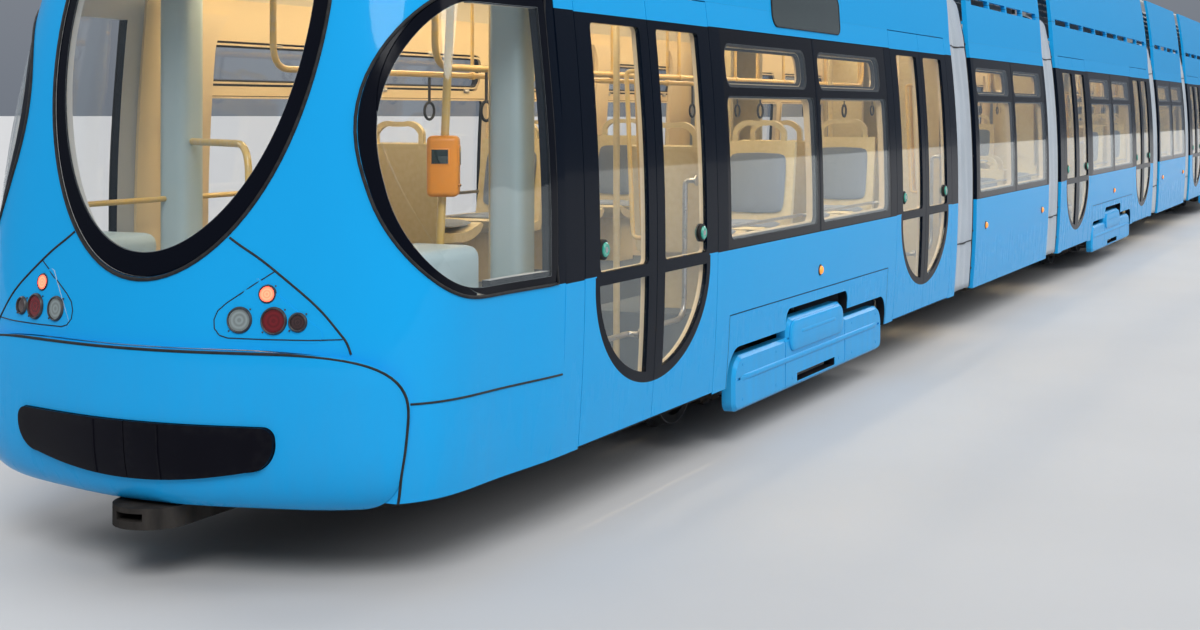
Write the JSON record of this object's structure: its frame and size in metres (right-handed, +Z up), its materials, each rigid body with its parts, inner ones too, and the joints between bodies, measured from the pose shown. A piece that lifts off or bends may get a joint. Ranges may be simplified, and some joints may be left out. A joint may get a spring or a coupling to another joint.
{
  "type": "articulated low-floor tram",
  "caption": "Blue low-floor tram in hinged sections on motor bogies, with doors along its right side, a large oval end window, fabric gangway bellows and a folded roof pantograph",
  "frame": {"origin": "on the plane under the wheel flanges, below mid length and mid width", "axes": "+X towards the driver's cab, +Y to the tram's left, +Z up"},
  "size_m": [32.0594, 2.3012, 3.785],
  "materials": {
    "body_blue": "gloss",
    "moulded_blue": "gloss",
    "glass": "clear",
    "rubber": "matt",
    "floor_steel": "matt",
    "interior": "satin",
    "fabric": "soft",
    "running_gear": "matt",
    "wheel_steel": "worn",
    "lamp": "clear",
    "pantograph": "satin",
    "cab": "satin"
  },
  "bodies": {
    "section_a": {"section_a_doors": "body_blue", "section_a_floor": "floor_steel", "section_a_glazing": "glass", "section_a_interior": "interior", "section_a_roof": "body_blue", "section_a_walls": "body_blue", "nose_bumper": "moulded_blue", "nose_lamps": "lamp", "nose_pad": "rubber", "nose_shell": "moulded_blue", "cab_fittings": "cab"},
    "section_b": {"section_b_floor": "floor_steel", "section_b_glazing": "glass", "section_b_interior": "interior", "section_b_roof": "body_blue", "section_b_walls": "body_blue", "bellows_ab": "fabric"},
    "section_c": {"section_c_doors": "body_blue", "section_c_floor": "floor_steel", "section_c_glazing": "glass", "section_c_interior": "interior", "section_c_roof": "body_blue", "section_c_walls": "body_blue", "pantograph_base": "pantograph", "bellows_bc": "fabric", "bellows_cd": "fabric"},
    "section_d": {"section_d_floor": "floor_steel", "section_d_glazing": "glass", "section_d_interior": "interior", "section_d_roof": "body_blue", "section_d_walls": "body_blue", "bellows_de": "fabric"},
    "section_e": {"section_e_doors": "body_blue", "section_e_floor": "floor_steel", "section_e_glazing": "glass", "section_e_interior": "interior", "section_e_roof": "body_blue", "section_e_walls": "body_blue", "tail_bumper": "moulded_blue", "tail_lamps": "lamp", "tail_pad": "rubber", "tail_shell": "moulded_blue"},
    "front_bogie": {"front_bogie_frame": "running_gear", "front_bogie_covers": "moulded_blue"},
    "front_bogie_wheels_1": {"front_bogie_wheels_1": "wheel_steel"},
    "front_bogie_wheels_2": {"front_bogie_wheels_2": "wheel_steel"},
    "centre_bogie": {"centre_bogie_frame": "running_gear", "centre_bogie_covers": "moulded_blue"},
    "centre_bogie_wheels_1": {"centre_bogie_wheels_1": "wheel_steel"},
    "centre_bogie_wheels_2": {"centre_bogie_wheels_2": "wheel_steel"},
    "rear_bogie": {"rear_bogie_frame": "running_gear", "rear_bogie_covers": "moulded_blue"},
    "rear_bogie_wheels_1": {"rear_bogie_wheels_1": "wheel_steel"},
    "rear_bogie_wheels_2": {"rear_bogie_wheels_2": "wheel_steel"},
    "lower_arm": {"pantograph_lower_arm": "pantograph"},
    "upper_arm": {"pantograph_upper_arm": "pantograph"},
    "head": {"pantograph_head": "pantograph"}
  },
  "joints": [
    {"name": "articulation_bc", "type": "hinge", "parent": "section_c", "child": "section_b", "pos_m": [3.76, 0, 0.3], "axis": [0, 0, 1], "range_deg": [-20, 20], "deforming": ["bellows_bc"]},
    {"name": "articulation_ab", "type": "hinge", "parent": "section_b", "child": "section_a", "pos_m": [7.477, 0, 0.3], "axis": [0, 0, 1], "range_deg": [-20, 20], "deforming": ["bellows_ab"]},
    {"name": "articulation_cd", "type": "hinge", "parent": "section_c", "child": "section_d", "pos_m": [-3.76, 0, 0.3], "axis": [0, 0, 1], "range_deg": [-20, 20], "deforming": ["bellows_cd"]},
    {"name": "articulation_de", "type": "hinge", "parent": "section_d", "child": "section_e", "pos_m": [-7.477, 0, 0.3], "axis": [0, 0, 1], "range_deg": [-20, 20], "deforming": ["bellows_de"]},
    {"name": "front_bogie_yaw", "type": "hinge", "parent": "section_a", "child": "front_bogie", "pos_m": [11.237, 0, 0.4], "axis": [0, 0, 1], "range_deg": [-3, 3]},
    {"name": "front_bogie_wheels_1_spin", "type": "hinge", "parent": "front_bogie", "child": "front_bogie_wheels_1", "pos_m": [12.137, 0, 0.32], "axis": [0, 1, 0], "continuous": true},
    {"name": "front_bogie_wheels_2_spin", "type": "hinge", "parent": "front_bogie", "child": "front_bogie_wheels_2", "pos_m": [10.337, 0, 0.32], "axis": [0, 1, 0], "continuous": true},
    {"name": "centre_bogie_yaw", "type": "hinge", "parent": "section_c", "child": "centre_bogie", "pos_m": [0, 0, 0.4], "axis": [0, 0, 1], "range_deg": [-3, 3]},
    {"name": "centre_bogie_wheels_1_spin", "type": "hinge", "parent": "centre_bogie", "child": "centre_bogie_wheels_1", "pos_m": [0.9, 0, 0.32], "axis": [0, 1, 0], "continuous": true},
    {"name": "centre_bogie_wheels_2_spin", "type": "hinge", "parent": "centre_bogie", "child": "centre_bogie_wheels_2", "pos_m": [-0.9, 0, 0.32], "axis": [0, 1, 0], "continuous": true},
    {"name": "rear_bogie_yaw", "type": "hinge", "parent": "section_e", "child": "rear_bogie", "pos_m": [-11.237, 0, 0.4], "axis": [0, 0, 1], "range_deg": [-3, 3]},
    {"name": "rear_bogie_wheels_1_spin", "type": "hinge", "parent": "rear_bogie", "child": "rear_bogie_wheels_1", "pos_m": [-10.337, 0, 0.32], "axis": [0, 1, 0], "continuous": true},
    {"name": "rear_bogie_wheels_2_spin", "type": "hinge", "parent": "rear_bogie", "child": "rear_bogie_wheels_2", "pos_m": [-12.137, 0, 0.32], "axis": [0, 1, 0], "continuous": true},
    {"name": "lower_arm_lift", "type": "hinge", "parent": "section_c", "child": "lower_arm", "pos_m": [0.5, 0, 3.52], "axis": [0, -1, 0], "range_deg": [0, 50]},
    {"name": "upper_arm_lift", "type": "hinge", "parent": "lower_arm", "child": "upper_arm", "pos_m": [2, 0, 3.59], "axis": [0, -1, 0], "range_deg": [-100, 0]},
    {"name": "head_level", "type": "hinge", "parent": "upper_arm", "child": "head", "pos_m": [0.56, 0, 3.67], "axis": [0, -1, 0], "range_deg": [0, 50]}
  ],
  "couplings": [
    {"joint": "upper_arm_lift", "follows": "lower_arm_lift", "ratio": -2},
    {"joint": "head_level", "follows": "lower_arm_lift", "ratio": 1}
  ]
}
